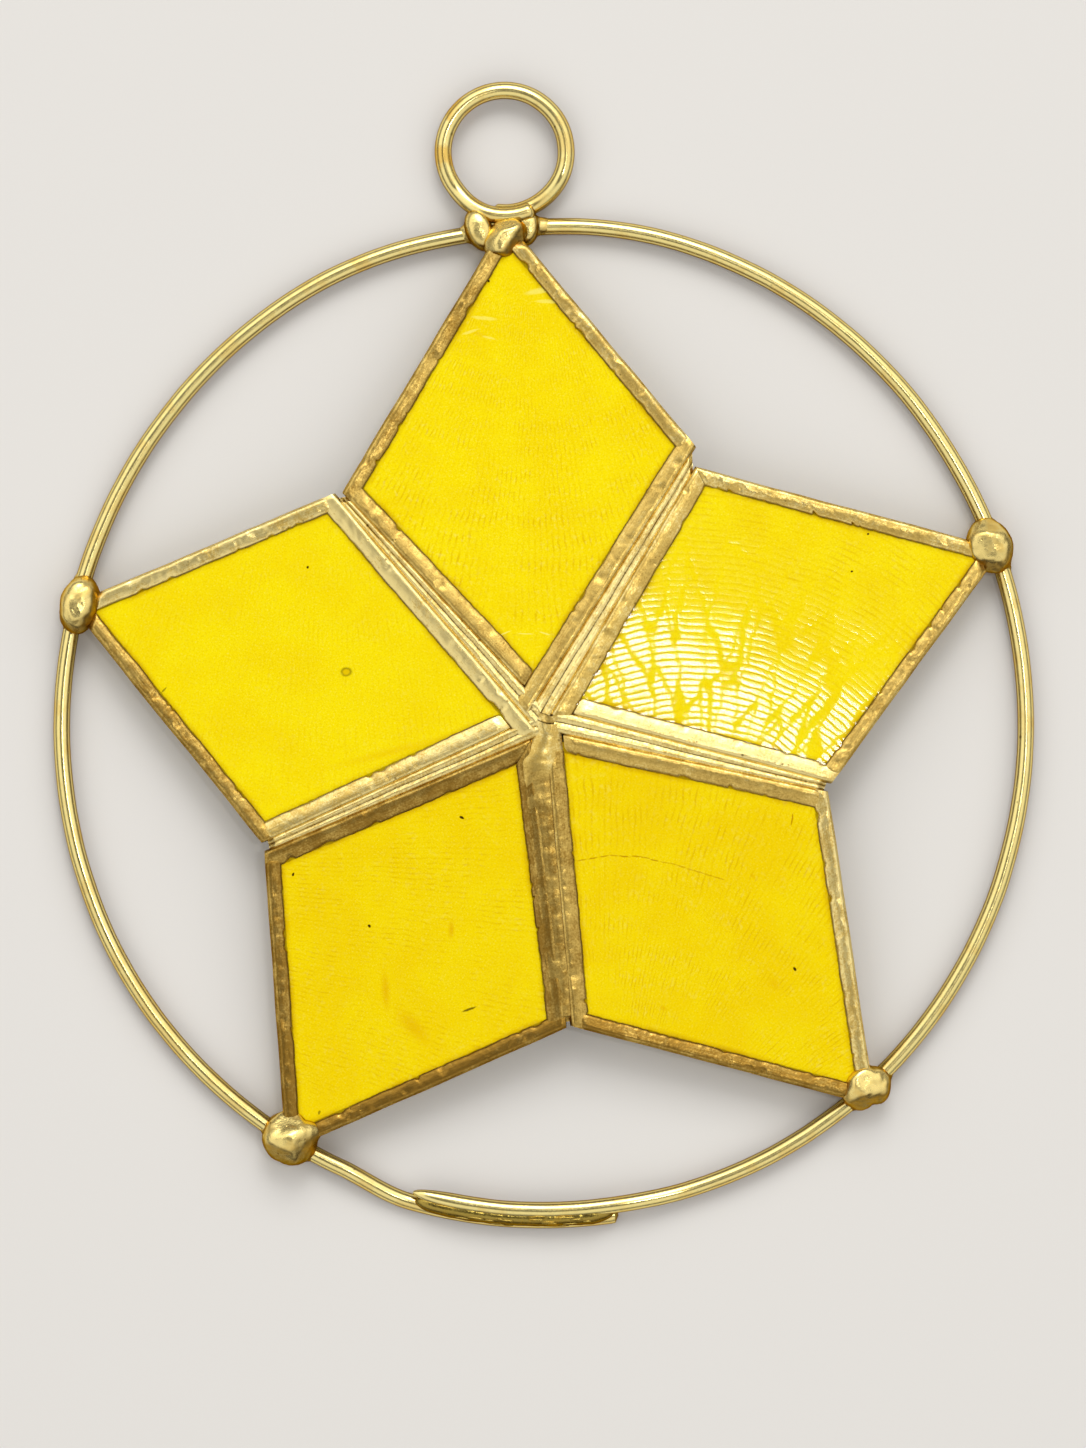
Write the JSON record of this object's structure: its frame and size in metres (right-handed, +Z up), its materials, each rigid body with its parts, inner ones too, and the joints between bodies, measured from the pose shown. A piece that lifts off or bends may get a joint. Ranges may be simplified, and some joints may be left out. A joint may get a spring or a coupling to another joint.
{
  "type": "hanging star ornament",
  "caption": "Flat hanging ornament: a shallow star of yellow shell panes edged in folded brass strip, soldered on a gold wire ring with a wire hanging loop.",
  "frame": {"origin": "centre of the ornament's box in plan, on the surface that it lies on with its back down", "axes": "+Z up out of the front face, +Y towards the hanging loop, +X to the right as seen from the front"},
  "size_m": [0.0937, 0.1098, 0.0069],
  "materials": {
    "shell_pane": "glossy dyed shell with fine growth lines",
    "brass_strip": "satin, mottled and slightly tarnished",
    "gold_wire": "bright lacquered gold wire",
    "gold_solder": "lumpy soft solder under gold lacquer"
  },
  "bodies": {
    "root": {"pane_top": "shell_pane", "pane_left": "shell_pane", "pane_lower_left": "shell_pane", "pane_lower_right": "shell_pane", "pane_right": "shell_pane", "edge_binding_top": "brass_strip", "edge_binding_left": "brass_strip", "edge_binding_lower_left": "brass_strip", "edge_binding_lower_right": "brass_strip", "edge_binding_right": "brass_strip", "seam_solder_top_left": "gold_solder", "seam_solder_left_lower_left": "gold_solder", "seam_solder_lower_left_lower_right": "gold_solder", "seam_solder_lower_right_right": "gold_solder", "seam_solder_right_top": "gold_solder", "tip_solder_top": "gold_solder", "tip_solder_left": "gold_solder", "tip_solder_lower_left": "gold_solder", "tip_solder_lower_right": "gold_solder", "tip_solder_right": "gold_solder", "outer_ring": "gold_wire", "hanging_loop": "gold_wire", "ring_lap_solder": "gold_solder", "loop_solder_left": "gold_solder", "loop_solder_right": "gold_solder"}
  },
  "joints": []
}
